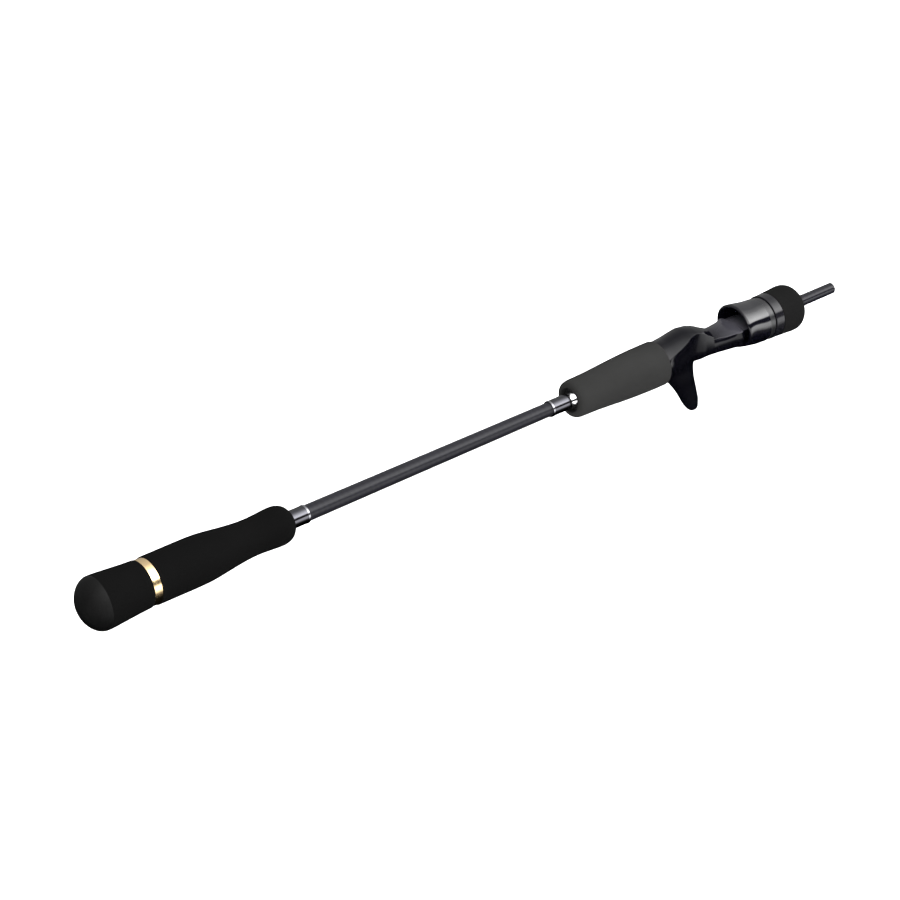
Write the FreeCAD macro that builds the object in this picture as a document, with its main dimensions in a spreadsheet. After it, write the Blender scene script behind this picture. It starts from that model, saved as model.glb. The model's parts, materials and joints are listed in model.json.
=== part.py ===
import FreeCAD, Part
import math
import os
import Sketcher

# Butt section of a two-piece casting rod: grips, trims and a trigger reel seat on a tubular blank.
# +X runs from the butt to the tip, +Z is the reel side, and the trigger points down along -Z.
# The origin is the crown of the butt cap. All lengths are in millimetres.

V = FreeCAD.Vector
doc = FreeCAD.newDocument("butt_section")
sheet = doc.addObject("Spreadsheet::Sheet", "sizes")
C = {}
bodies = []

# Driving sizes.
GAP = 0.3              # clearance between faces that slide or turn past each other
WALL = 1.1             # blank wall
TAPER = 0.00319        # blank radius lost per millimetre of length
BLANK_AFT_R = 5.43     # blank radius at the origin station
BARREL_R = 9.6         # outside of the seat barrel that the hood and nut run on
ROOT_R = 8.8           # thread root of that barrel
BED_TOP = 5.9          # height of the reel-foot bed on the centre line


def blank_r(x):
    return BLANK_AFT_R - TAPER * x


def cell(alias, value):
    """Store a size in the sheet under a word and return it."""
    row = len(C) + 1
    sheet.set("A%d" % row, alias)
    sheet.set("B%d" % row, "%.4f" % value)
    sheet.setAlias("B%d" % row, alias)
    C[alias] = round(value, 4)
    return C[alias]


def cells(**sizes):
    for alias, value in sizes.items():
        cell(alias, value)


cells(cap_face_x=5.0, plug_flange_x=8.5, cap_rim_x=11.5, plug_stem_x=29.5,
      ring_aft_x=40.1, ring_fore_x=45.2, rear_end_x=140.5, rear_check_x=150.7,
      rear_band_x=152.1, fore_band_x=334.5, collar_aft_x=335.9, flare_x=349.1,
      fore_grip_x=350.9, check_rim_x=352.7, check_end_x=354.7, seat_aft_x=422.0,
      step_x=487.2, hood_lip_x=487.7, hood_end_x=507.8, coupler_x=512.2, thread_x=512.7,
      skirt_x=519.3, liner_x=530.5, barrel_end_x=536.6, nut_wall_x=537.6, nut_end_x=541.0,
      blank_end_x=575.0)
cells(cap_rim_r=16.0, cap_bore_r=6.6, butt_fore_r=14.15, ring_r=13.75, rear_aft_r=14.25,
      rear_face_r=6.0, rear_check_r=5.45, rear_band_r=5.62, collar_r=4.95, fore_band_r=5.12,
      check_r=6.5, fore_face_r=8.0, fore_end_r=14.2, seat_bore_r=5.0, barrel_r=BARREL_R,
      root_r=ROOT_R, hood_bore_r=BARREL_R + GAP, nut_root_r=BARREL_R + GAP,
      nut_crest_r=ROOT_R + GAP, nut_core_r=11.6, coupler_r=13.5, skirt_r=14.3,
      nut_aft_r=14.45, nut_face_r=6.5, nut_clear_r=4.05, socket_r=2.35)


def tube_radii(prefix, aft, fore, offset=0.0):
    """Radii of a bore or skin that follows the blank's taper between two stations."""
    cell(prefix + "_aft_r", blank_r(C[aft]) + offset)
    cell(prefix + "_fore_r", blank_r(C[fore]) + offset)


def origin_plane(body, role):
    for feature in body.Origin.OriginFeatures:
        if feature.Role == role:
            return feature
    raise ValueError(role)


def new_body(name):
    body = doc.addObject("PartDesign::Body", name)
    body.Label = name
    body.Placement = FreeCAD.Placement(V(0, 0, 0), FreeCAD.Rotation())
    bodies.append(body)
    return body


def new_sketch(body, name, role, offset=0.0):
    sketch = body.newObject("Sketcher::SketchObject", name)
    sketch.AttachmentSupport = [(origin_plane(body, role), "")]
    sketch.MapMode = "FlatFace"
    sketch.AttachmentOffset = FreeCAD.Placement(V(0, 0, offset), FreeCAD.Rotation())
    return sketch


def bind(sketch, kind, vertex, alias):
    """Drive a vertex's distance from the axis or the origin station by a sheet cell."""
    index = sketch.addConstraint(Sketcher.Constraint(kind, -1, 1, vertex, 1, C[alias]))
    sketch.setExpression("Constraints[%d]" % index, "sizes." + alias)


def outline(body, name, corners, curves=None):
    """Closed half profile in the XZ plane. Corners are (x cell, radius cell) pairs.

    curves maps an edge number to the inner points of the smooth curve that replaces its line.
    """
    curves = curves or {}
    sketch = new_sketch(body, name, "XZ_Plane")
    points = [V(C.get(x, 0.0), C.get(r, 0.0), 0) for x, r in corners]
    count = len(points)
    for k in range(count):
        start, end = points[k], points[(k + 1) % count]
        if k in curves:
            spline = Part.BSplineCurve()
            spline.interpolate([start] + [V(x, r, 0) for x, r in curves[k]] + [end])
            sketch.addGeometry(spline, False)
        else:
            sketch.addGeometry(Part.LineSegment(start, end), False)
    for k in range(count):
        sketch.addConstraint(Sketcher.Constraint("Coincident", k, 2, (k + 1) % count, 1))
    for k, (x, r) in enumerate(corners):
        for kind, alias, axis in (("DistanceX", x, -2), ("DistanceY", r, -1)):
            if alias:
                bind(sketch, kind, k, alias)
            else:
                sketch.addConstraint(Sketcher.Constraint("PointOnObject", k, 1, axis))
    return sketch


def revolve(body, sketch, kind="PartDesign::Revolution"):
    feature = body.newObject(kind, sketch.Name + "_turn")
    feature.Profile = sketch
    feature.ReferenceAxis = (sketch, ["H_Axis"])
    feature.Angle = 360.0
    body.Tip = feature


def turned(name, corners, curves=None):
    """A turned piece: one half profile revolved about the rod axis."""
    body = new_body(name)
    revolve(body, outline(body, name + "_profile", corners, curves))
    return body


def dome(crown_x, rim_x, crown_r, rim_r, power):
    """Inner points of a rounded end that swells from a crown station out to its rim."""
    points = []
    for share in (0.25, 0.5, 0.7, 0.85, 0.95):
        height = (1.0 - share ** power) ** (1.0 / power)
        points.append((rim_x - (rim_x - crown_x) * height, crown_r + (rim_r - crown_r) * share))
    return points


def round_edges(body, name, radius, test):
    """Fillet the circular edges whose station and radius pass the test."""
    doc.recompute()
    picked = ["Edge%d" % (k + 1) for k, edge in enumerate(body.Tip.Shape.Edges)
              if isinstance(edge.Curve, Part.Circle)
              and test(edge.Curve.Center.x, edge.Curve.Radius)]
    base = body.Tip
    fillet = body.newObject("PartDesign::Fillet", name)
    fillet.Base = (base, picked)
    fillet.Radius = radius
    body.Tip = fillet


# Butt end and rear grip ------------------------------------------------------------------

def butt_cap():
    turned("butt_cap", [("", ""), ("cap_rim_x", "cap_rim_r"), ("cap_rim_x", "cap_bore_r"),
                        ("cap_face_x", "cap_bore_r"), ("cap_face_x", "")],
           {0: dome(0.0, C["cap_rim_x"], 0.0, C["cap_rim_r"], 1.85)})


def butt_plug():
    cell("plug_stem_r", blank_r(C["plug_stem_x"]) - WALL - 0.05)
    turned("butt_plug", [("cap_face_x", ""), ("cap_face_x", "cap_bore_r"),
                         ("plug_flange_x", "cap_bore_r"), ("plug_flange_x", "plug_stem_r"),
                         ("plug_stem_x", "plug_stem_r"), ("plug_stem_x", "")])


def butt_grip():
    tube_radii("butt_bore", "cap_rim_x", "ring_aft_x")
    flare = [(16.1, 15.83), (21.5, 15.42), (27.5, 14.95), (33.5, 14.5)]
    body = turned("butt_grip", [("cap_rim_x", "butt_bore_aft_r"), ("cap_rim_x", "cap_rim_r"),
                                ("ring_aft_x", "butt_fore_r"),
                                ("ring_aft_x", "butt_bore_fore_r")], {1: flare})
    round_edges(body, "butt_grip_lip", 0.4, lambda x, r: x > 38 and r > 10)


def trim_ring():
    tube_radii("ring_bore", "ring_aft_x", "ring_fore_x")
    body = turned("trim_ring", [("ring_aft_x", "ring_bore_aft_r"), ("ring_aft_x", "ring_r"),
                                ("ring_fore_x", "ring_r"), ("ring_fore_x", "ring_bore_fore_r")])
    round_edges(body, "trim_ring_edges", 0.2, lambda x, r: r > 10)


def rear_grip():
    tube_radii("rear_bore", "ring_fore_x", "rear_end_x")
    outer = [(55.5, 14.27), (65.5, 14.28), (74.5, 14.24), (81.5, 13.95), (90.0, 13.05),
             (97.5, 12.1), (105.5, 11.28), (113.5, 10.9), (121.5, 11.18), (128.0, 11.6),
             (132.5, 11.62), (135.9, 10.9), (138.3, 9.5), (139.9, 7.6)]
    body = turned("rear_grip", [("ring_fore_x", "rear_bore_aft_r"), ("ring_fore_x", "rear_aft_r"),
                                ("rear_end_x", "rear_face_r"),
                                ("rear_end_x", "rear_bore_fore_r")],
                  {1: outer})
    round_edges(body, "rear_grip_lip", 0.4, lambda x, r: x < 50 and r > 10)


# Blank and its collars -------------------------------------------------------------------

def blank():
    tube_radii("blank_skin", "plug_flange_x", "blank_end_x")
    tube_radii("blank_bore", "plug_flange_x", "blank_end_x", -WALL)
    turned("blank", [("plug_flange_x", "blank_bore_aft_r"), ("plug_flange_x", "blank_skin_aft_r"),
                     ("blank_end_x", "blank_skin_fore_r"), ("blank_end_x", "blank_bore_fore_r")])


def ferrule_liner():
    tube_radii("liner_skin", "liner_x", "blank_end_x", -WALL)
    turned("ferrule_liner", [("liner_x", "socket_r"), ("liner_x", "liner_skin_aft_r"),
                             ("blank_end_x", "liner_skin_fore_r"), ("blank_end_x", "socket_r")])


def rear_check():
    tube_radii("rear_check_bore", "rear_end_x", "rear_check_x")
    body = turned("rear_check", [("rear_end_x", "rear_check_bore_aft_r"),
                                 ("rear_end_x", "rear_check_r"), ("rear_check_x", "rear_check_r"),
                                 ("rear_check_x", "rear_check_bore_fore_r")])
    return body


def rear_band():
    tube_radii("rear_band_bore", "rear_check_x", "rear_band_x")
    body = turned("rear_band", [("rear_check_x", "rear_band_bore_aft_r"),
                                ("rear_check_x", "rear_band_r"), ("rear_band_x", "rear_band_r"),
                                ("rear_band_x", "rear_band_bore_fore_r")])
    round_edges(body, "rear_band_edges", 0.25, lambda x, r: r > C["rear_band_r"] - 0.01)


def fore_band():
    tube_radii("fore_band_bore", "fore_band_x", "collar_aft_x")
    body = turned("fore_band", [("fore_band_x", "fore_band_bore_aft_r"),
                                ("fore_band_x", "fore_band_r"), ("collar_aft_x", "fore_band_r"),
                                ("collar_aft_x", "fore_band_bore_fore_r")])
    round_edges(body, "fore_band_edges", 0.25, lambda x, r: r > C["fore_band_r"] - 0.01)


def fore_collar():
    tube_radii("collar_bore", "collar_aft_x", "flare_x")
    turned("fore_collar", [("collar_aft_x", "collar_bore_aft_r"), ("collar_aft_x", "collar_r"),
                           ("flare_x", "collar_r"), ("flare_x", "collar_bore_fore_r")])


def fore_check():
    """Flared bright check that sits in the recess of the fore grip's rear face."""
    tube_radii("check_bore", "flare_x", "check_end_x")
    flare = [(350.1, 5.12), (351.3, 5.55), (352.2, 6.08)]
    turned("fore_check", [("flare_x", "check_bore_aft_r"), ("flare_x", "collar_r"),
                          ("check_rim_x", "check_r"), ("check_end_x", "check_r"),
                          ("check_end_x", "check_bore_fore_r")], {1: flare})


def fore_grip():
    """Cone grip with a shallow recess round the check."""
    cell("recess_r", C["check_r"] + 0.35)
    cell("fore_rim_r", 7.9)
    tube_radii("fore_bore", "check_end_x", "seat_aft_x")
    outer = [(351.05, 9.6), (351.8, 10.85), (353.3, 11.62), (356.0, 11.93), (361.0, 12.03),
             (367.5, 12.2), (377.5, 12.75), (387.5, 13.4), (397.5, 13.88), (407.5, 14.18),
             (415.5, 14.28)]
    body = turned("fore_grip", [("check_end_x", "fore_bore_aft_r"), ("check_end_x", "recess_r"),
                                ("fore_grip_x", "fore_rim_r"), ("seat_aft_x", "fore_end_r"),
                                ("seat_aft_x", "fore_bore_fore_r")], {2: outer})
    round_edges(body, "fore_grip_lip", 0.6, lambda x, r: x > 415 and r > 10)


# Reel seat -------------------------------------------------------------------------------

def section(body, name, x, crease, crown, flank, foot, keel):
    """Symmetric four-arc section at station x.

    crease, flank and foot are (y, z) points down one side; crown and keel are the heights of
    the top and bottom on the centre line.
    """
    sketch = new_sketch(body, name, "YZ_Plane", x)
    for sign_a, a, b, sign_c, c in (
            (-1, crease, (0.0, crown), 1, crease), (1, crease, flank, 1, foot),
            (1, foot, (0.0, keel), -1, foot), (-1, foot, (-flank[0], flank[1]), -1, crease)):
        sketch.addGeometry(Part.Arc(V(sign_a * a[0], a[1], 0), V(b[0], b[1], 0),
                                    V(sign_c * c[0], c[1], 0)), False)
    return sketch


def loft(body, name, sketches, kind="PartDesign::AdditiveLoft"):
    feature = body.newObject(kind, name)
    feature.Profile = sketches[0]
    feature.Sections = sketches[1:]
    feature.Ruled = False
    body.Tip = feature


def pipe_section(body, name, x, crease, crown, pipe, pinch=1.0):
    """Section whose lower half follows a pipe; pinch narrows the flank below the crease."""
    flank = (pipe * pinch * math.cos(math.radians(4)), -pipe * math.sin(math.radians(4)))
    foot = (pipe * math.sin(math.radians(45)), -pipe * math.cos(math.radians(45)))
    return section(body, name, x, crease, crown, flank, foot, -pipe)


HUMP = [  # station, crease (y, z), crown, pipe radius, pinch of the flank
    (422.0, (11.8, 7.35), 13.9, 13.9, 1.0),
    (427.5, (10.7, 8.55), 13.75, 13.4, 0.99),
    (433.5, (9.8, 10.1), 14.35, 12.1, 0.95),
    (439.0, (8.9, 12.0), 15.15, 10.9, 0.9),
    (444.5, (7.2, 14.0), 15.7, 9.9, 0.88),
    (450.0, (6.2, 13.9), 15.0, 9.2, 0.88),
    (455.0, (6.3, 12.1), 13.4, 8.8, 0.9),
    (459.5, (6.8, 9.2), 11.2, 8.6, 0.95),
    (463.5, (6.9, 6.9), 9.6, 8.5, 1.0),
]
BED = [   # station, crease (y, z), pipe radius
    (437.5, (6.4, 4.6), 8.5), (453.5, (6.6, 4.8), 8.5), (463.5, (6.8, 5.0), 8.6),
    (468.5, (7.2, 4.7), 9.0), (474.5, (8.2, 3.95), 9.6), (480.5, (8.6, 3.7), 10.2),
    (487.2, (8.6, 3.8), 10.9),
]
TRIGGER = [  # height, rear station, front station, half thickness
    (-6.0, 425.8, 453.1, 6.6), (-12.5, 428.8, 453.0, 5.3), (-19.5, 434.4, 454.2, 4.5),
    (-25.0, 439.0, 455.9, 4.1), (-32.0, 443.8, 458.0, 3.8), (-39.0, 448.0, 459.8, 3.5),
    (-43.5, 451.4, 460.0, 3.1), (-45.6, 453.4, 459.3, 2.3), (-46.5, 455.0, 458.3, 1.2),
]


def slab(body, name, z, aft, fore, half):
    """Rounded slot section of the trigger at one height."""
    sketch = new_sketch(body, name, "XY_Plane", z)
    radius = min(half, 0.45 * (fore - aft))
    a, b = aft + radius, fore - radius
    for start, mid, end in (((b, -half), (fore, 0), (b, half)), ((a, half), (aft, 0), (a, -half))):
        sketch.addGeometry(Part.Arc(V(*start, 0), V(*mid, 0), V(*end, 0)), False)
    sketch.addGeometry(Part.LineSegment(V(b, half, 0), V(a, half, 0)), False)
    sketch.addGeometry(Part.LineSegment(V(a, -half, 0), V(b, -half, 0)), False)
    return sketch


def closed_arcs(body, name, x, arcs):
    """Closed section at station x from three-point arcs; two points make a straight side."""
    sketch = new_sketch(body, name, "YZ_Plane", x)
    for points in arcs:
        ends = [V(y, z, 0) for y, z in points]
        kind = Part.Arc if len(ends) == 3 else Part.LineSegment
        sketch.addGeometry(kind(*ends), False)
    return sketch


def slot_section(body, name, x, half, floor_edge, floor, roof_edge, roof):
    """Foot slot: a bowed floor, straight sides and a bowed roof."""
    return closed_arcs(body, name, x, [
        [(-half, floor_edge), (0.0, floor), (half, floor_edge)],
        [(half, floor_edge), (half, roof_edge)],
        [(half, roof_edge), (0.0, roof), (-half, roof_edge)],
        [(-half, roof_edge), (-half, floor_edge)]])


def straight_cut(body, name, sketch, length):
    """Pocket from the sketch plane towards the butt."""
    pocket = body.newObject("PartDesign::Pocket", name)
    pocket.Profile = sketch
    pocket.Length = length
    pocket.Reversed = False
    body.Tip = pocket
    return pocket


def seat_body():
    """Moulded seat: palm hump with the fixed hood, foot bed, trigger and threaded barrel."""
    body = new_body("seat_body")
    loft(body, "hump_loft", [pipe_section(body, "hump_%d" % k, *station)
                             for k, station in enumerate(HUMP)])
    loft(body, "bed_loft", [pipe_section(body, "bed_%d" % k, x, crease, BED_TOP, pipe)
                            for k, (x, crease, pipe) in enumerate(BED)])
    loft(body, "trigger_loft", [slab(body, "trigger_%d" % k, *row)
                                for k, row in enumerate(TRIGGER)])
    revolve(body, outline(body, "barrel", [
        ("step_x", ""), ("step_x", "barrel_r"), ("thread_x", "barrel_r"),
        ("thread_x", "root_r"), ("barrel_end_x", "root_r"), ("barrel_end_x", "")]))
    revolve(body, outline(body, "bore", [
        ("seat_aft_x", ""), ("seat_aft_x", "seat_bore_r"), ("barrel_end_x", "seat_bore_r"),
        ("barrel_end_x", "")]), "PartDesign::Groove")
    flat = closed_arcs(body, "barrel_flat", C["barrel_end_x"] + 1.0, [
        [(-8.6, 3.8), (0.0, BED_TOP), (8.6, 3.8)], [(8.6, 3.8), (12.0, 12.0)],
        [(12.0, 12.0), (-12.0, 12.0)], [(-12.0, 12.0), (-8.6, 3.8)]])
    straight_cut(body, "barrel_flat_cut", flat, C["barrel_end_x"] + 1.0 - C["step_x"])
    mouth = slot_section(body, "fixed_mouth", 465.0, 4.6, 5.3, BED_TOP, 6.5, 8.0)
    straight_cut(body, "fixed_mouth_cut", mouth, 20.5)
    return body


def arbor(name, aft, fore):
    """Thin sleeve that fills the gap between the seat bore and the blank."""
    cell(name + "_aft_x", aft)
    cell(name + "_fore_x", fore)
    tube_radii(name, name + "_aft_x", name + "_fore_x")
    turned(name, [(name + "_aft_x", name + "_aft_r"), (name + "_aft_x", "seat_bore_r"),
                  (name + "_fore_x", "seat_bore_r"), (name + "_fore_x", name + "_fore_r")])


def arbors():
    arbor("arbor_aft", 425.0, 449.0)
    arbor("arbor_mid", 462.0, 486.0)
    arbor("arbor_fore", 510.0, 534.0)


HOOD = [  # station, crease (y, z), crown, pipe radius, pinch
    (487.7, (15.3, 4.6), 16.5, 11.3, 1.22),
    (491.2, (15.2, 4.5), 16.35, 12.0, 1.17),
    (496.5, (14.2, 4.3), 15.2, 13.0, 1.06),
    (501.5, (13.35, 4.1), 14.1, 13.8, 1.0),
    (507.8, (13.5, 4.1), 14.1, 14.1, 1.0),
]
HOOD_MOUTH = [  # station, half width, floor edge, floor, roof edge, roof
    (486.7, 12.6, 2.0, BED_TOP - GAP, 8.9, 15.4), (491.0, 11.6, 2.4, BED_TOP - GAP, 8.2, 14.2),
    (496.0, 10.0, 2.8, BED_TOP - GAP, 7.0, 12.2), (501.0, 8.6, 3.4, BED_TOP - GAP, 5.8, 9.8),
]


def moving_hood():
    """Sleeve hood: a flared mouth on the reel side, a round bore below and a key above."""
    body = new_body("moving_hood")
    loft(body, "hood_loft", [pipe_section(body, "hood_%d" % k, *station)
                             for k, station in enumerate(HOOD)])
    bore = closed_arcs(body, "hood_bore", C["hood_end_x"] + 1.0, [
        [(-8.75, 4.5), (0.0, BED_TOP + GAP), (8.75, 4.5)],
        [(8.75, 4.5), (C["hood_bore_r"] * 0.966, -C["hood_bore_r"] * 0.2588),
         (C["hood_bore_r"] * 0.5, -C["hood_bore_r"] * 0.866)],
        [(C["hood_bore_r"] * 0.5, -C["hood_bore_r"] * 0.866), (0.0, -C["hood_bore_r"]),
         (-C["hood_bore_r"] * 0.5, -C["hood_bore_r"] * 0.866)],
        [(-C["hood_bore_r"] * 0.5, -C["hood_bore_r"] * 0.866),
         (-C["hood_bore_r"] * 0.966, -C["hood_bore_r"] * 0.2588), (-8.75, 4.5)]])
    straight_cut(body, "hood_bore_cut", bore, 25.0)
    loft(body, "hood_mouth_cut", [slot_section(body, "mouth_%d" % k, *row)
                                  for k, row in enumerate(HOOD_MOUTH)],
         "PartDesign::SubtractiveLoft")
    return body


def coupler_ring():
    """Ring that ties the hood to the nut; it keeps clear of the barrel."""
    body = turned("coupler_ring", [("hood_end_x", "hood_bore_r"), ("hood_end_x", "coupler_r"),
                                   ("coupler_x", "coupler_r"), ("coupler_x", "hood_bore_r")])
    round_edges(body, "coupler_edges", 0.35, lambda x, r: r > 13)


def nut_core():
    """Threaded core of the lock nut with its visible skirt band."""
    cell("nut_aft_x", C["coupler_x"] + GAP)
    body = turned("nut_core", [
        ("nut_aft_x", "nut_root_r"), ("nut_aft_x", "skirt_r"), ("skirt_x", "skirt_r"),
        ("skirt_x", "nut_core_r"), ("nut_wall_x", "nut_core_r"), ("nut_wall_x", "nut_root_r")])
    round_edges(body, "nut_core_edges", 0.5, lambda x, r: r > 13)


def nut_grip():
    """Foam foregrip over the nut core, closed down round the blank."""
    nose = dome(C["nut_end_x"], 532.8, C["nut_face_r"], 15.1, 2.0)
    outer = [(522.5, 14.6), (527.5, 14.85), (532.0, 15.1)] + nose[::-1]
    body = turned("nut_grip", [
        ("skirt_x", "nut_core_r"), ("skirt_x", "nut_aft_r"), ("nut_end_x", "nut_face_r"),
        ("nut_end_x", "nut_clear_r"), ("nut_wall_x", "nut_clear_r"),
        ("nut_wall_x", "nut_core_r")], {1: outer})
    round_edges(body, "nut_grip_lip", 0.5, lambda x, r: x < 521 and r > 13)


for build in (butt_cap, butt_plug, butt_grip, trim_ring, rear_grip, blank, ferrule_liner,
              rear_check, rear_band, fore_band, fore_collar, fore_check, fore_grip, seat_body,
              arbors, moving_hood, coupler_ring, nut_core, nut_grip):
    build()
doc.recompute()

for obj in doc.Objects:
    if "Invalid" in obj.State or "Error" in obj.State:
        raise RuntimeError("%s did not build: %s" % (obj.Name, obj.State))
os.makedirs("parts", exist_ok=True)
for body in bodies:
    shape = body.Shape
    if shape.isNull() or not shape.isValid():
        raise RuntimeError("%s has no valid shape" % body.Label)
    shape.exportStep("parts/%s.step" % body.Label)
    print("%-14s %9.1f mm3  %s" % (body.Label, shape.Volume, shape.BoundBox))
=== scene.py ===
"""Looks for the casting-rod butt section: finishes, moulded seat and hood, light and camera.

+X runs from the butt to the tip along the rod's axis, and +Z is the reel side. Lengths are in
metres, but the seat, the trigger and the hood are laid out in millimetres and scaled by skin().
"""

import json
import math

import bmesh
import bpy
from mathutils import Matrix, Vector


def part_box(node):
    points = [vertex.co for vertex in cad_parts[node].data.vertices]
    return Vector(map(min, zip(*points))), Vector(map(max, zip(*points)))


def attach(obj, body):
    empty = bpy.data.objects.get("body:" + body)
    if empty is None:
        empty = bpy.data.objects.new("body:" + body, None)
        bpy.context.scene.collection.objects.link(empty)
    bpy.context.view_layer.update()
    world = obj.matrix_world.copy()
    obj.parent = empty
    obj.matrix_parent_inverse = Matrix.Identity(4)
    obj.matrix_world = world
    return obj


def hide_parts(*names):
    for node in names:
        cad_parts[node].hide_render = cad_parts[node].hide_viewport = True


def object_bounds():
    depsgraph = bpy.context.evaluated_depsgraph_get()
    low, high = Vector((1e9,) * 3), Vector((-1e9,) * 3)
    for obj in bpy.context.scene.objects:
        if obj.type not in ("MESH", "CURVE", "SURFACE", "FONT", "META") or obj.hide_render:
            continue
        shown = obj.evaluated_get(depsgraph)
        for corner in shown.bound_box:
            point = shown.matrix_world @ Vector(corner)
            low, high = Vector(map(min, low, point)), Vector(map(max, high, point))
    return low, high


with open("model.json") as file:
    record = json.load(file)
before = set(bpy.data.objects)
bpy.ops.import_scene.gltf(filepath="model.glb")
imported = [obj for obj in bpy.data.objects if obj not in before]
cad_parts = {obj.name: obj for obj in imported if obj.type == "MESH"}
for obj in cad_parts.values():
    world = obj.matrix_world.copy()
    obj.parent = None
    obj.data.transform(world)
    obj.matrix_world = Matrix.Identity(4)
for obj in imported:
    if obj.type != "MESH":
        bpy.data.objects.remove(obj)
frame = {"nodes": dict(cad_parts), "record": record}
cad_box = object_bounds()
MM = 0.001


# Node helpers ----------------------------------------------------------------------------

NOISE_LOW, NOISE_HIGH = 0.3, 0.7  # most values of a noise texture lie between these


def scaled(color, factor):
    return tuple(channel * factor for channel in color)


class Graph:
    """Small wrapper round a material's node tree."""

    def __init__(self, name, material=None):
        self.material = material or bpy.data.materials.new(name)
        self.material.use_nodes = True
        self.tree = self.material.node_tree
        self.shader = self.tree.nodes["Principled BSDF"]

    def node(self, kind, settings=None, **inputs):
        """Add a node; inputs are values, or nodes and sockets to link, by input name."""
        node = self.tree.nodes.new(kind)
        for key, value in (settings or {}).items():
            setattr(node, key, value)
        for key, value in inputs.items():
            self.feed(node.inputs[key.replace("_", " ")], value)
        return node

    def feed(self, socket, value):
        if isinstance(value, bpy.types.Node):
            value = value.outputs[0]
        if isinstance(value, bpy.types.NodeSocket):
            self.tree.links.new(value, socket)
        else:
            socket.default_value = value

    def set(self, **inputs):
        """Set or link the shader's own sockets."""
        for key, value in inputs.items():
            self.feed(self.shader.inputs[key.replace("_", " ")], value)

    def place(self, stretch=(1.0, 1.0, 1.0)):
        """Object coordinates, stretched along each axis."""
        coordinates = self.node("ShaderNodeTexCoord")
        mapping = self.node("ShaderNodeMapping", Vector=coordinates.outputs["Object"])
        mapping.inputs["Scale"].default_value = stretch
        return mapping

    def noise(self, scale, detail, stretch=(1.0, 1.0, 1.0)):
        """Noise with its scale counted per metre."""
        return self.node("ShaderNodeTexNoise", Vector=self.place(stretch), Scale=scale,
                         Detail=detail)

    def ramp(self, source, low, high, colors):
        """Colour ramp between two positions."""
        node = self.node("ShaderNodeValToRGB", Fac=source)
        for element, position, color in zip(node.color_ramp.elements, (low, high), colors):
            element.position = position
            element.color = (*color, 1.0)
        return node

    def remap(self, source, low, high, to_low, to_high):
        node = self.node("ShaderNodeMapRange", Value=source)
        for key, value in (("From Min", low), ("From Max", high),
                           ("To Min", to_low), ("To Max", to_high)):
            self.feed(node.inputs[key], value)
        return node

    def tint(self, noise, color, dark, light):
        """Shades of a colour that follow a noise, between two factors of it."""
        shades = (scaled(color, dark), scaled(color, light))
        return self.ramp(noise.outputs["Fac"], NOISE_LOW, NOISE_HIGH, shades).outputs["Color"]

    def vary(self, noise, low, high):
        """Value that follows a noise between two limits."""
        return self.remap(noise.outputs["Fac"], NOISE_LOW, NOISE_HIGH, low, high).outputs["Result"]

    def bump(self, height, distance, strength, under=None):
        node = self.node("ShaderNodeBump", Height=height, Distance=distance, Strength=strength)
        if under:
            self.feed(node.inputs["Normal"], under)
        return node

    def mix(self, factor, first, second):
        """Blend of two colours or colour sources."""
        node = self.node("ShaderNodeMix", {"data_type": "RGBA"})
        self.feed(node.inputs["Factor"], factor)
        for key, value in (("A", first), ("B", second)):
            socket = next(s for s in node.inputs if s.name == key and s.type == "RGBA")
            self.feed(socket, (*value, 1.0) if isinstance(value, tuple) else value)
        return next(s for s in node.outputs if s.type == "RGBA")


# Materials -------------------------------------------------------------------------------

def foam(name, color):
    """Closed-cell grip foam: fine open pores in a ground skin, with a faint cloudy tone; the darker
    colour down in the pores is painted shade.
    """
    cell, cell_relief, grain_relief = 0.32 * MM, 0.05 * MM, 0.03 * MM
    g = Graph(name)
    cloud = g.noise(60.0, 4.0, (0.5, 1.0, 1.0))
    pores = g.node("ShaderNodeTexVoronoi", Vector=g.place(), Scale=1.0 / cell)
    grain = g.noise(2600.0, 2.0)
    tone = g.tint(cloud, color, 0.86, 1.14)
    # painted shade: the colour darkens down in the pores, where the bump sinks
    dark = g.ramp(pores.outputs["Distance"], 0.08, 0.42, (scaled(color, 0.62), color))
    g.set(Base_Color=g.mix(0.45, tone, dark.outputs["Color"]),
          Roughness=g.vary(grain, 0.82, 0.96), Specular_IOR_Level=0.015)
    cells = g.bump(pores.outputs["Distance"], cell_relief, 0.55)
    g.set(Normal=g.bump(grain.outputs["Fac"], grain_relief, 0.4, cells))
    return g.material


def rubber(name, color):
    """Moulded rubber with a fine satin grain."""
    g = Graph(name)
    grain = g.noise(1900.0, 3.0)
    cloud = g.noise(90.0, 3.0)
    g.set(Base_Color=g.tint(cloud, color, 0.85, 1.15), Roughness=g.vary(cloud, 0.5, 0.62),
          Normal=g.bump(grain.outputs["Fac"], 0.02 * MM, 0.35), Specular_IOR_Level=0.09)
    return g.material


def paint_light_on_bed(material):
    """Painted light: a paler base colour, not the moulding's own, on top of the bed and the barrel,
    growing from start to end. Guessed paler tone on top of the bed and the barrel, growing from
    start to end.
    """
    start, end = 464.0 * MM, 488.0 * MM
    low, high = 3.5 * MM, 3.8 * MM
    # painted light: the paler colour that the top of the bed takes
    pale = (0.036, 0.035, 0.042)
    g = Graph(material.name, material)
    place = g.node("ShaderNodeSeparateXYZ", Vector=g.node("ShaderNodeTexCoord").outputs["Object"])
    # mask of the painted light: the top of the bed and barrel, growing towards the hood's mouth
    along = g.remap(place.outputs["X"], start, end, 0.0, 1.0)
    above = g.remap(place.outputs["Z"], low, high, 0.0, along.outputs["Result"])
    plain = g.shader.inputs["Base Color"].links[0].from_socket
    g.set(Base_Color=g.mix(above.outputs["Result"], plain, pale))


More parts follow.
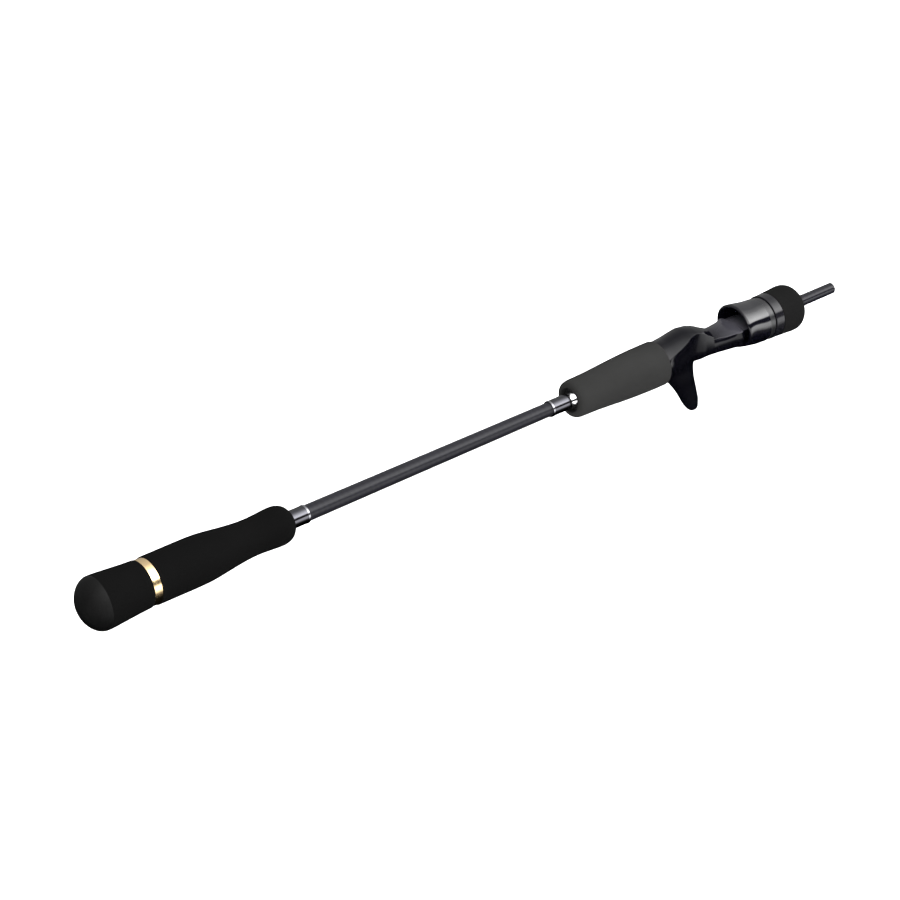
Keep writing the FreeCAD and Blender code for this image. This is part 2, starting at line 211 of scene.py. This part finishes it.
def moulded(name, color, roughness, specular=0.5):
    """Gloss moulded plastic: faint orange peel, and roughness that drifts with handling."""
    wear, drift_high = 0.1, 0.75
    g = Graph(name)
    peel = g.noise(420.0, 2.0)
    drift = g.noise(70.0, 4.0, (0.6, 1.0, 1.0))
    g.set(Base_Color=g.tint(drift, color, 0.9, 1.12),
          Roughness=g.remap(drift.outputs["Fac"], NOISE_LOW, drift_high,
                            roughness * (1 - wear), roughness * (1 + wear)).outputs["Result"],
          Normal=g.bump(peel.outputs["Fac"], 0.012 * MM, 0.06), Specular_IOR_Level=specular)
    return g.material


def metal(name, color, roughness):
    """Polished metal with fine turning marks round the rod."""
    brush = 0.05
    g = Graph(name)
    marks = g.noise(900.0, 3.0, (6.0, 0.15, 0.15))
    smear = g.noise(120.0, 3.0)
    g.set(Base_Color=g.tint(smear, color, 0.93, 1.0),
          Roughness=g.vary(marks, roughness - brush * 0.5, roughness + brush),
          Normal=g.bump(marks.outputs["Fac"], 0.01 * MM, 0.12), Metallic=1.0)
    return g.material


def carbon(name, color, gloss_from, gloss_to):
    """Clear-coated carbon tube: fibre streaks, wound tape marks, and more gloss at the tip."""
    satin, gloss, relief = 0.34, 0.1, 0.01 * MM
    g = Graph(name)
    fibre = g.noise(800.0, 3.0, (0.06, 1.0, 1.0))
    tape = g.node("ShaderNodeTexWave", {"wave_type": "BANDS", "bands_direction": "X"},
                  Vector=g.place((1.0, 0.22, 0.22)), Scale=85.0, Distortion=1.2, Detail=1.0)
    along = g.node("ShaderNodeSeparateXYZ", Vector=g.node("ShaderNodeTexCoord").outputs["Object"])
    shine = g.remap(along.outputs["X"], gloss_from, gloss_to, satin, gloss)
    streak = g.tint(fibre, color, 0.75, 1.3)
    wound = g.ramp(tape.outputs["Fac"], 0.2, 0.8, (scaled(color, 0.8), scaled(color, 1.25)))
    g.set(Base_Color=g.mix(0.4, streak, wound.outputs["Color"]),
          Roughness=shine.outputs["Result"], Specular_IOR_Level=0.2)
    marks = g.bump(tape.outputs["Fac"], relief, 0.05)
    g.set(Normal=g.bump(fibre.outputs["Fac"], relief, 0.2, marks))
    return g.material


MATERIALS = {
    "cap_rubber": rubber("cap_rubber", (0.003, 0.003, 0.003)),
    "plug_plastic": moulded("plug_plastic", (0.02, 0.02, 0.02), 0.5),
    "rear_foam": foam("rear_foam", (0.0028, 0.0028, 0.0028)),
    "gold_metal": metal("gold_metal", (0.96, 0.72, 0.4), 0.2),
    "gunmetal": metal("gunmetal", (0.09, 0.09, 0.1), 0.14),
    "bright_ring": metal("bright_ring", (0.3, 0.3, 0.32), 0.18),
    "carbon": carbon("carbon", (0.007, 0.007, 0.0095), 0.5, 0.54),
    "liner_carbon": carbon("liner_carbon", (0.012, 0.012, 0.014), 0.9, 1.0),
    "check_chrome": metal("check_chrome", (0.86, 0.86, 0.88), 0.1),
    "fore_foam": foam("fore_foam", (0.018, 0.018, 0.0177)),
    "seat_gloss": moulded("seat_gloss", (0.0016, 0.0016, 0.0026), 0.07, 0.16),
    "arbor_foam": foam("arbor_foam", (0.3, 0.28, 0.22)),
    "hood_gloss": moulded("hood_gloss", (0.0018, 0.0018, 0.0034), 0.07, 0.72),
    "coupler_satin": moulded("coupler_satin", (0.008, 0.008, 0.009), 0.28),
    "nut_gloss": moulded("nut_gloss", (0.005, 0.005, 0.0065), 0.14, 0.35),
    "nut_foam": foam("nut_foam", (0.0062, 0.0062, 0.0062)),
}
# paints light onto the top of the seat's bed
paint_light_on_bed(MATERIALS["seat_gloss"])


def finish_nodes():
    """Give every CAD node its detailed material."""
    for part in frame["record"]["subparts"]:
        cad = frame["nodes"][part["node"]]
        cad.data.materials.clear()
        cad.data.materials.append(MATERIALS[part["material_slot"]])


# Skins over rings ------------------------------------------------------------------------

def smooth_table(rows, step):
    """Rows of a table (station first) resampled by monotone cubic pieces, at most step apart."""
    slopes = []
    for k in range(len(rows)):
        slope = []
        for column in range(1, len(rows[0])):
            secants = [(rows[j + 1][column] - rows[j][column]) / (rows[j + 1][0] - rows[j][0])
                       for j in (k - 1, k) if 0 <= j < len(rows) - 1]
            if len(secants) == 2 and secants[0] * secants[1] <= 0:
                slope.append(0.0)
            elif len(secants) == 2:
                slope.append(2 * secants[0] * secants[1] / (secants[0] + secants[1]))
            else:
                slope.append(secants[0])
        slopes.append(slope)
    fine = []
    for k in range(len(rows) - 1):
        (start, *before), (end, *after) = rows[k], rows[k + 1]
        span = end - start
        count = max(1, math.ceil(span / step))
        for i in range(count):
            t = i / count
            blend = (2 * t ** 3 - 3 * t ** 2 + 1, t ** 3 - 2 * t ** 2 + t,
                     3 * t ** 2 - 2 * t ** 3, t ** 3 - t ** 2)
            fine.append([start + span * t] + [
                blend[0] * a + blend[1] * span * sa + blend[2] * b + blend[3] * span * sb
                for a, sa, b, sb in zip(before, slopes[k], after, slopes[k + 1])])
    return fine + [list(rows[-1])]


def skin(name, rings, closed=False):
    """Mesh over rings of (x, y, z) points in millimetres: capped, or joined last ring to first."""
    count = len(rings[0])
    faces = []
    for k in range(len(rings) if closed else len(rings) - 1):
        here, there = k * count, (k + 1) % len(rings) * count
        for i in range(count):
            j = (i + 1) % count
            faces.append((here + i, here + j, there + j, there + i))
    if not closed:
        faces.append(tuple(range(count))[::-1])
        faces.append(tuple((len(rings) - 1) * count + i for i in range(count)))
    mesh = bpy.data.meshes.new(name)
    mesh.from_pydata([Vector(p) * MM for ring in rings for p in ring], [], faces)
    return mesh


def shade(mesh, sharp_degrees):
    """Smooth shading that breaks at edges sharper than the limit."""
    edit = bmesh.new()
    edit.from_mesh(mesh)
    bmesh.ops.recalc_face_normals(edit, faces=edit.faces)
    limit = math.radians(sharp_degrees)
    for edge in edit.edges:
        edge.smooth = not (len(edge.link_faces) == 2 and edge.calc_face_angle(0.0) > limit)
    for face in edit.faces:
        face.smooth = True
    edit.to_mesh(mesh)
    edit.free()


def piece(name, mesh, sharp_degrees, body, nodes, slot):
    """Object that rides a body and stands for CAD nodes, if there are any."""
    mesh.validate()
    obj = bpy.data.objects.new(name, mesh)
    bpy.context.collection.objects.link(obj)
    shade(mesh, sharp_degrees)
    mesh.materials.append(MATERIALS[slot])
    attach(obj, body)
    if nodes:
        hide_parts(*nodes)
    return obj


def cut(obj, rings):
    """Take the solid over the rings out of obj."""
    mesh = skin("cutter", rings)
    tool = bpy.data.objects.new("cutter", mesh)
    bpy.context.collection.objects.link(tool)
    modifier = obj.modifiers.new("pocket", "BOOLEAN")
    modifier.operation, modifier.solver, modifier.object = "DIFFERENCE", "EXACT", tool
    depsgraph = bpy.context.evaluated_depsgraph_get()
    done = bpy.data.meshes.new_from_object(obj.evaluated_get(depsgraph))
    obj.modifiers.clear()
    old = obj.data
    obj.data = done
    bpy.data.meshes.remove(old)
    bpy.data.objects.remove(tool)
    bpy.data.meshes.remove(mesh)


def rounded(before, corner, after, radius, count):
    """Points of a small blend that rounds off a corner between its two neighbours."""
    corner = Vector(corner)
    start = corner + (Vector(before) - corner).normalized() * radius
    end = corner + (Vector(after) - corner).normalized() * radius
    return [tuple(start.lerp(corner, t).lerp(corner.lerp(end, t), t))
            for t in (i / count for i in range(count + 1))]


def mirrored_ring(x, half):
    """Closed ring at station x from half-section points that run from top to bottom centre."""
    return [(x, y, z) for y, z in half] + [(x, -y, z) for y, z in half[-2:0:-1]]


# Moulded seat ----------------------------------------------------------------------------

BARREL_R, BORE_R, BED_TOP = 9.6, 5.0, 5.9
# Both tables: station, crease y and z, crown height, keel depth, half width at the axis as a
# share of that depth, depth of the side scoop (below zero the side bulges).
HUMP = [
    (422.0, 11.80, 7.35, 13.90, 13.9, 1.00, -0.75),
    (427.5, 10.70, 8.55, 13.75, 13.4, 0.88, 0.00),
    (433.5, 9.80, 10.10, 14.35, 12.1, 0.79, 0.40),
    (439.0, 8.90, 12.00, 15.15, 10.9, 0.78, 0.45),
    (444.5, 7.20, 14.00, 15.70, 9.9, 0.74, 0.20),
    (449.0, 6.30, 13.95, 15.20, 9.3, 0.72, 0.10),
    (452.0, 6.15, 13.20, 14.40, 9.0, 0.79, -0.10),
    (456.0, 6.50, 11.50, 12.95, 8.7, 1.00, -0.45),
    (460.0, 6.80, 8.90, 11.00, 8.6, 1.00, -0.40),
    (463.5, 6.90, 6.90, 9.50, 8.6, 1.00, -0.35),
]
BED = [
    (463.52, 7.00, 4.85, BED_TOP, 8.7, 1.00, -0.40),
    (468.5, 7.20, 4.70, BED_TOP, 9.0, 1.00, -0.50),
    (474.5, 8.20, 3.95, BED_TOP, 9.6, 1.00, -0.40),
    (480.5, 9.00, 3.95, BED_TOP, 10.2, 1.00, -0.30),
    (484.0, 9.85, 4.45, BED_TOP, 10.6, 1.00, 0.00),
    (485.8, 10.10, 4.65, BED_TOP, 10.8, 1.00, 0.00),
    (487.2, 9.10, 4.10, BED_TOP, 10.9, 1.00, -0.30),
]


def seat_half(crease_y, crease_z, crown, depth, flank, scoop):
    """Half section: bowed top, side wall with a scoop under the crease, round keel."""
    top, side, keel = 10, 14, 14
    blend, blend_steps = 0.25, 5
    points = [(crease_y * i / top, crown + (crease_z - crown) * (i / top) ** 2)
              for i in range(top)]
    wide = depth * flank
    wall = []
    for i in range(1, side):
        s = i / side
        wall.append((crease_y + (wide - crease_y) * s - scoop * math.sin(math.pi * s),
                     crease_z * (1 - s)))
    points += rounded(points[-1], (crease_y, crease_z), wall[0], blend, blend_steps) + wall
    for i in range(keel + 1):
        t = math.pi / 2 * i / keel
        points.append((wide * math.cos(t), -depth * math.sin(t)))
    points[-1] = (0.0, -depth)
    return points


def foot_pocket():
    """Rings of the hollow under the hump's front that takes the rear end of the reel foot."""
    aft, fore, half = 444.5, 465.0, 4.6
    bottom, shoulder, roof, bow = 5.3, 6.5, 8.0, 0.3
    roof_share, crown_share = 0.6, 0.5
    right = [(half, bottom - bow), (half, shoulder), (half * roof_share, roof)]
    left = [(-y, z) for y, z in right[::-1]]
    crowned = [(-half * crown_share, bottom + bow), (half * crown_share, bottom + bow)]
    return [[(x, y, z) for y, z in right + left + crowned] for x in (aft, fore)]


def seat():
    """Palm hump, reel-foot bed and barrel as one moulding, with the fixed hood's pocket."""
    hump_step, bed_step, sharp = 1.0, 1.2, 30.0
    step_start, step_end, barrel_middle, end_edge, bore_middle = 0.02, 0.3, 512.7, 0.4, 470.0
    start, bed_end, end = HUMP[0][0], BED[-1][0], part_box("seat_body")[1][0] / MM
    rows = smooth_table(HUMP, hump_step) + smooth_table(BED, bed_step)
    rings = [mirrored_ring(row[0], seat_half(*row[1:])) for row in rows]
    barrel_crease_y, barrel_crease_z, barrel_scoop = 8.6, 3.8, -0.75
    barrel = seat_half(barrel_crease_y, barrel_crease_z, BED_TOP, BARREL_R, 1.0, barrel_scoop)
    stations = (bed_end + step_start, bed_end + step_end, barrel_middle, end - end_edge, end)
    rings += [mirrored_ring(x, barrel) for x in stations]
    bore = [(BORE_R * y / math.hypot(y, z), BORE_R * z / math.hypot(y, z)) for y, z in barrel[1:-1]]
    bore = [(0.0, BORE_R)] + bore + [(0.0, -BORE_R)]
    rings += [mirrored_ring(x, bore) for x in (end, bore_middle, start)]
    obj = piece("seat_moulding", skin("seat_moulding", rings, closed=True), sharp, "rod",
                ["seat_body"], "seat_gloss")
    cut(obj, foot_pocket())
    shade(obj.data, sharp)


TRIGGER = [  # depth below the axis, rear station, front station, half thickness
    (3.0, 424.5, 452.8, 6.9), (7.0, 425.8, 453.1, 6.0), (10.0, 427.3, 453.0, 5.1),
    (13.0, 429.5, 453.2, 4.7), (16.5, 432.0, 453.7, 4.7), (20.0, 434.9, 454.3, 4.6),
    (25.0, 439.0, 455.9, 4.1), (32.0, 443.8, 458.0, 3.7), (39.0, 448.0, 459.8, 3.4),
    (43.5, 451.4, 460.0, 3.0), (45.4, 453.3, 459.4, 2.3), (46.2, 454.6, 458.7, 1.5),
    (46.5, 455.6, 457.8, 0.6),
]


def squared(value, power):
    """Sine or cosine pushed outwards, which turns a circle into a rounded square."""
    return math.copysign(abs(value) ** power, value)


def trigger():
    """Finger hook: rounded sections from a broad root to a slim tip that leans forward."""
    step, points, sharp = 0.8, 48, 50.0
    fore_power, aft_power, side_power = 0.8, 0.85, 0.8
    rings = []
    for depth, aft, fore, half in smooth_table(TRIGGER, step):
        middle, reach = (aft + fore) / 2, (fore - aft) / 2
        ring = []
        for i in range(points):
            cosine, sine = math.cos(2 * math.pi * i / points), math.sin(2 * math.pi * i / points)
            along = squared(cosine, fore_power if cosine > 0 else aft_power)
            ring.append((middle + reach * along, half * squared(sine, side_power), -depth))
        rings.append(ring)
    piece("trigger", skin("trigger", rings), sharp, "rod", [], "seat_gloss")


# Moulded moving hood ---------------------------------------------------------------------

HOOD_STEPS = 36  # of the half ring, from top to bottom
HOOD_ANGLES = (90.0, 38.0, 0.0, -25.0, -50.0, -90.0)  # degrees, 90 is the top
HOOD = [  # station, then the outer radius at each of those angles
    (487.7, 16.50, 16.45, 15.30, 13.60, 11.60, 11.30),
    (489.5, 16.40, 16.35, 15.25, 13.65, 11.90, 11.60),
    (492.0, 16.10, 16.00, 15.05, 13.70, 12.40, 12.10),
    (496.5, 15.35, 15.20, 14.60, 13.80, 13.10, 12.95),
    (501.5, 14.55, 14.50, 14.25, 13.95, 13.75, 13.70),
    (507.8, 14.10, 14.10, 14.10, 14.10, 14.10, 14.10),
]
HOOD_LIP = [  # inset from the mouth's outline, distance from the mouth towards the tip
    (1.5, 0.0), (1.15, 0.0), (0.95, 0.06), (0.15, 0.825), (0.0, 1.1),
]


def hood_outline(radii):
    """Radii at the half ring's angles, smooth between the table's angles."""
    degree_step = 1.0
    fine = smooth_table([(-angle, r) for angle, r in zip(HOOD_ANGLES, radii)], degree_step)
    radius = []
    for i in range(HOOD_STEPS + 1):
        angle = -90.0 + 180.0 * i / HOOD_STEPS
        after = next(k for k in range(1, len(fine)) if fine[k][0] >= angle - 1e-9)
        (a, low), (b, high) = fine[after - 1], fine[after]
        radius.append(low + (high - low) * (angle - a) / (b - a))
    return radius


def hood_half(radii):
    """Half-section points, top to bottom, from a radius for each step."""
    return [(r * math.sin(math.pi * i / HOOD_STEPS), r * math.cos(math.pi * i / HOOD_STEPS))
            for i, r in enumerate(radii)]


def keyed_bore():
    """Bore radii for each step: round, but with a slightly bowed flat above the foot bed."""
    clearance, bow = 0.3, 0.02
    circle = BARREL_R + clearance
    radii = []
    for i in range(HOOD_STEPS + 1):
        angle = math.pi * i / HOOD_STEPS
        flat = BED_TOP + clearance - bow * (circle * math.sin(angle)) ** 2
        radii.append(min(circle, flat / math.cos(angle)) if i < HOOD_STEPS / 2 else circle)
    return radii


def hood():
    """Sleeve hood: a flared mouth with a rolled lip, and a keyed bore over the barrel."""
    step, edge, neck, sharp = 1.2, 0.35, 501.0, 32.0
    flare_power, flared_steps = 1.2, HOOD_STEPS * 0.66
    outer = smooth_table(HOOD, step)
    mouth, end, wall = outer[0][0], outer[-1][0], HOOD_LIP[0][0]
    first, last = hood_outline(outer[0][1:]), hood_outline(outer[-1][1:])
    sections = [(mouth + back, [r - inset for r in first]) for inset, back in HOOD_LIP]
    sections += [(row[0], hood_outline(row[1:])) for row in outer[1:-1]]
    sections += [(end - edge, last), (end, [r - edge for r in last])]
    bore = keyed_bore()
    sections += [(end, bore), (neck, bore)]
    for share in (0.25, 0.5, 0.75, 0.9, 1.0):
        flare = [b + (max(r - wall, b) - b) * share ** flare_power if i < flared_steps else b
                 for i, (b, r) in enumerate(zip(bore, first))]
        sections.append((neck + (mouth - neck) * share, flare))
    rings = [mirrored_ring(x, hood_half(radii)) for x, radii in sections]
    piece("hood_moulding", skin("hood_moulding", rings, closed=True), sharp, "hood",
          ["moving_hood"], "hood_gloss")


# Studio ----------------------------------------------------------------------------------

def axis_frame():
    """Camera axes from the view angle: the rod rises in the picture, its butt end nearest."""
    # turn: away from square to the rod; side: camera's height about it; rise: slope in the picture
    turn, side, rise = math.radians(33.0), math.radians(40.0), math.radians(23.22)
    look = Vector((math.sin(turn), math.cos(turn) * math.cos(side),
                   -math.cos(turn) * math.sin(side)))
    rod = Vector((1.0, 0.0, 0.0))
    along = (rod - look * rod.dot(look)).normalized()
    across = along.cross(look)
    right = along * math.cos(rise) - across * math.sin(rise)
    up = along * math.sin(rise) + across * math.cos(rise)
    return right, up, look


def camera():
    """Long lens; the aim station on the rod axis stands just below the picture's centre."""
    lens, sensor, distance = 120.0, 36.0, 1.7503
    aim = Vector((258.08 * MM, 0.0, 0.0))
    dip = 0.00055  # tangent of the aim station's angle below the lens axis
    right, up, look = axis_frame()
    data = bpy.data.cameras.new("camera")
    data.lens, data.sensor_width = lens, sensor
    data.dof.use_dof = False
    obj = bpy.data.objects.new("camera", data)
    obj.location = aim - (look - up * dip) * distance
    obj.rotation_euler = Matrix((right, up, -look)).transposed().to_euler()
    bpy.context.collection.objects.link(obj)
    bpy.context.scene.camera = obj


def floor():
    """Plain pale floor under the lowest point of the rod."""
    half, drop = 3.0, 30.0 * MM
    pale, paler = (0.9, 0.9, 0.9), (0.93, 0.93, 0.93)
    low = cad_box[0][2] - drop
    mesh = bpy.data.meshes.new("floor")
    mesh.from_pydata([(-half, -half, low), (half, -half, low), (half, half, low),
                      (-half, half, low)], [], [(0, 1, 2, 3)])
    obj = bpy.data.objects.new("floor", mesh)
    bpy.context.collection.objects.link(obj)
    g = Graph("floor_paper")
    tooth = g.noise(300.0, 2.0)
    paper = g.ramp(tooth.outputs["Fac"], NOISE_LOW, NOISE_HIGH, (pale, paler))
    g.set(Base_Color=paper.outputs["Color"], Roughness=0.95, Specular_IOR_Level=0.0)
    mesh.materials.append(g.material)
    obj.visible_glossy = False  # in the photo the gloss parts reflect darkness below


GLOW_START = -130.0  # straight down, where the radial gradient begins
GLOW = [  # degrees about the rod (0 is the camera's direction, 50 is straight up), brightness
    (-95.0, 0.0), (-74.0, 0.02), (-54.0, 0.42), (-38.0, 0.5), (-33.0, 0.1), (-29.0, 0.005),
    (-9.0, 0.005), (-4.0, 0.85), (6.0, 1.0), (30.0, 0.6), (52.0, 0.24), (75.0, 0.11),
    (110.0, 0.08), (150.0, 0.05), (175.0, 0.0),
]


def studio():
    """Soft light: a gradient round the rod, a weak glow from the tip side and a wide sun."""
    butt_strength, side_strength = 3.0, 7.0
    tip_strength, tip_edge, tip_full = 2.0, 0.9, 0.96
    sun_strength, sun_degrees = 2.4, 70.0
    world = bpy.data.worlds.new("studio")
    bpy.context.scene.world = world
    world.use_nodes = True
    tree = world.node_tree
    overhead = tree.nodes["Background"]

    def node(kind, **settings):
        made = tree.nodes.new(kind)
        for key, value in settings.items():
            setattr(made, key, value)
        return made

    def fade(source, low, high, dim, bright):
        made = node("ShaderNodeMapRange", interpolation_type="SMOOTHSTEP")
        for key, value in (("From Min", low), ("From Max", high),
                           ("To Min", dim), ("To Max", bright)):
            made.inputs[key].default_value = value
        tree.links.new(source, made.inputs["Value"])
        return made.outputs["Result"]

    def white_light(strength):
        made = node("ShaderNodeBackground")
        made.inputs["Color"].default_value = (1.0, 1.0, 1.0, 1.0)
        tree.links.new(strength, made.inputs["Strength"])
        return made.outputs["Background"]

    direction = node("ShaderNodeSeparateXYZ")
    tree.links.new(node("ShaderNodeTexCoord").outputs["Generated"], direction.inputs["Vector"])
    turned = node("ShaderNodeCombineXYZ")
    tree.links.new(direction.outputs["Z"], turned.inputs["X"])
    tree.links.new(direction.outputs["Y"], turned.inputs["Y"])
    angle = node("ShaderNodeTexGradient", gradient_type="RADIAL")
    tree.links.new(turned.outputs["Vector"], angle.inputs["Vector"])
    bands = node("ShaderNodeValToRGB")
    tree.links.new(angle.outputs["Fac"], bands.inputs["Fac"])
    stops = bands.color_ramp.elements
    while len(stops) < len(GLOW):
        stops.new(0.5)
    for stop, (degrees, level) in zip(stops, GLOW):
        stop.position = (degrees - GLOW_START) / 360.0
        stop.color = (level, level, level, 1.0)
    tree.links.new(bands.outputs["Color"], overhead.inputs["Color"])
    tree.links.new(fade(direction.outputs["X"], -1.0, 0.0, butt_strength, side_strength),
                   overhead.inputs["Strength"])
    tip_side = white_light(fade(direction.outputs["X"], tip_edge, tip_full, 0.0, tip_strength))
    total = node("ShaderNodeAddShader")
    tree.links.new(overhead.outputs["Background"], total.inputs[0])
    tree.links.new(tip_side, total.inputs[1])
    tree.links.new(total.outputs["Shader"], tree.nodes["World Output"].inputs["Surface"])
    sun = bpy.data.lights.new("overhead", "SUN")
    sun.energy, sun.angle = sun_strength, math.radians(sun_degrees)
    obj = bpy.data.objects.new("overhead", sun)
    obj.visible_glossy = False
    bpy.context.collection.objects.link(obj)
    bpy.context.scene.view_settings.view_transform = "Standard"


finish_nodes()
seat()
trigger()
hood()
floor()
studio()
camera()
